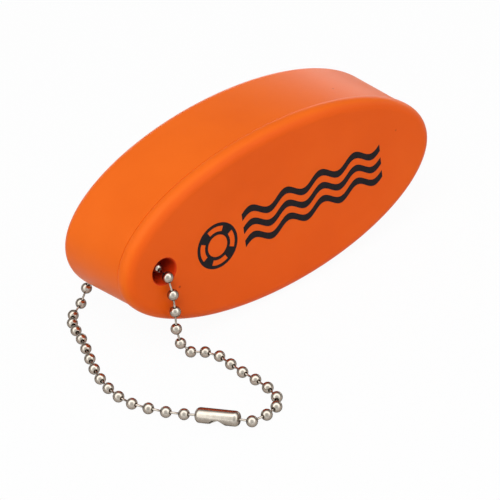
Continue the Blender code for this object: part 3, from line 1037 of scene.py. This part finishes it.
def ink_material():
    """Screen-printed black ink: nearly matt, slightly uneven."""
    made, tree = new_material("black_print_ink")
    place = tree.node("ShaderNodeTexCoord", output="Object")
    uneven = noise(tree, place, INK_SCALE, detail=3.0, roughness=0.6)
    colour = tree.node("ShaderNodeValToRGB", {"stops": list(zip(INK_STOPS, INK_TONES))},
                       {"Fac": uneven})
    bump = tree.node("ShaderNodeBump", inputs={
        "Height": uneven, "Strength": INK_BUMP, "Distance": INK_RELIEF})
    shader = tree.node("ShaderNodeBsdfPrincipled", inputs={
        "Base Color": colour, "Roughness": INK_ROUGHNESS + uneven * INK_UNEVENNESS,
        "Normal": bump, "Specular IOR Level": INK_GLOSS})
    tree.node("ShaderNodeOutputMaterial", inputs={"Surface": shader})
    return made


ink = ink_material()
print("ink nodes", len(ink.node_tree.nodes))

# %% [markdown]
# Both motifs are drawn flat, then given the thickness of ink and laid on the face. The ring is two
# circles with four bands between them. All are spun in the same steps, so that the bands' corners
# meet the circles' corners and the drawing stays one sheet.

# %% Print the life ring
INK_THICKNESS = 0.03 * MM
RING_PLACE = Vector((-18.3 * MM, -0.3 * MM))
RING_OUTER = 5.2 * MM
RING_INNER = 2.5 * MM
RING_LINE = 0.75 * MM
RING_BANDS = 4
RING_SEGMENTS = 144
BAND_SEGMENTS = 14
DRAWING_MERGE = 1e-7


def ink_piece(name, bm, surface):
    """Gives a flat drawing the thickness of ink and lays it on the face."""
    extrude_by(bm, bm.faces[:], (0, 0, INK_THICKNESS))
    bmesh.ops.transform(bm, matrix=front_face, verts=bm.verts)
    bmesh.ops.recalc_face_normals(bm, faces=bm.faces)
    return finish_piece(name, bm, surface, "float")


def draw_band(bm, inner, outer, start, steps):
    """Draws a ring, or part of one, by spinning its radius about the ring's place."""
    way = Vector((math.cos(start), math.sin(start)))
    ends = [bm.verts.new((*(RING_PLACE + way * radius), 0)) for radius in (inner, outer)]
    radius = bm.edges.new(ends)
    bmesh.ops.spin(bm, geom=ends + [radius], cent=(*RING_PLACE, 0), axis=(0, 0, 1),
                   angle=math.tau * steps / RING_SEGMENTS, steps=steps,
                   use_merge=steps == RING_SEGMENTS)


def draw_life_ring(surface):
    """Two circles and four solid bands between them."""
    bm = bmesh.new()
    draw_band(bm, RING_OUTER - RING_LINE, RING_OUTER, 0, RING_SEGMENTS)
    draw_band(bm, RING_INNER, RING_INNER + RING_LINE, 0, RING_SEGMENTS)
    for band in range(RING_BANDS):
        middle = math.tau * (band + 0.5) / RING_BANDS
        draw_band(bm, RING_INNER + RING_LINE, RING_OUTER - RING_LINE,
                  middle - math.pi * BAND_SEGMENTS / RING_SEGMENTS, BAND_SEGMENTS)
    bmesh.ops.remove_doubles(bm, verts=bm.verts, dist=DRAWING_MERGE)
    return ink_piece("print_life_ring", bm, surface)


print("life ring faces", len(draw_life_ring(ink).data.polygons))

# %% [markdown]
# A waved line could be a bent strip, but then its width would have to be kept by hand. Here a short
# upright edge is pushed along in small steps, each as far up or down as the sine changes, as a
# broad pen held upright draws it.

# %% Print the waves
WAVE_START = -11.3 * MM
WAVE_LENGTH = 9.5 * MM
WAVE_COUNT = 4
WAVE_HEIGHT = 1.15 * MM
WAVE_LINE = 1.6 * MM
WAVE_STEPS = 24
WAVE_ROWS = (3.2 * MM, 0.0 * MM, -3.2 * MM)


def draw_wave(name, row, surface):
    """A waving line, drawn by pushing a short upright edge along."""
    bm = bmesh.new()
    tip = bm.verts.new((WAVE_START, row - WAVE_LINE / 2, 0))
    top = bm.verts.new((WAVE_START, row + WAVE_LINE / 2, 0))
    edge = bm.edges.new((tip, top))
    for step in range(1, WAVE_STEPS * WAVE_COUNT + 1):
        made = bmesh.ops.extrude_edge_only(bm, edges=[edge])["geom"]
        verts = [item for item in made if isinstance(item, bmesh.types.BMVert)]
        before = math.sin(math.tau * (step - 1) / WAVE_STEPS)
        after = math.sin(math.tau * step / WAVE_STEPS)
        move = (WAVE_LENGTH / WAVE_STEPS, WAVE_HEIGHT * (after - before), 0)
        bmesh.ops.translate(bm, vec=move, verts=verts)
        edge = next(item for item in made if isinstance(item, bmesh.types.BMEdge))
    return ink_piece(name, bm, surface)


waves = [draw_wave("print_wave_%d" % (number + 1), row, ink)
         for number, row in enumerate(WAVE_ROWS)]
print("wave faces", sum(len(wave.data.polygons) for wave in waves))

# %% [markdown]
# The last cell prints how far the dressed model's box has grown past the imported model's box on
# each side, so that the two can be compared.

# %% Finish
low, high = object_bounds()
print("grown in mm", in_mm(cad_low - low, 3), in_mm(high - cad_high, 3))
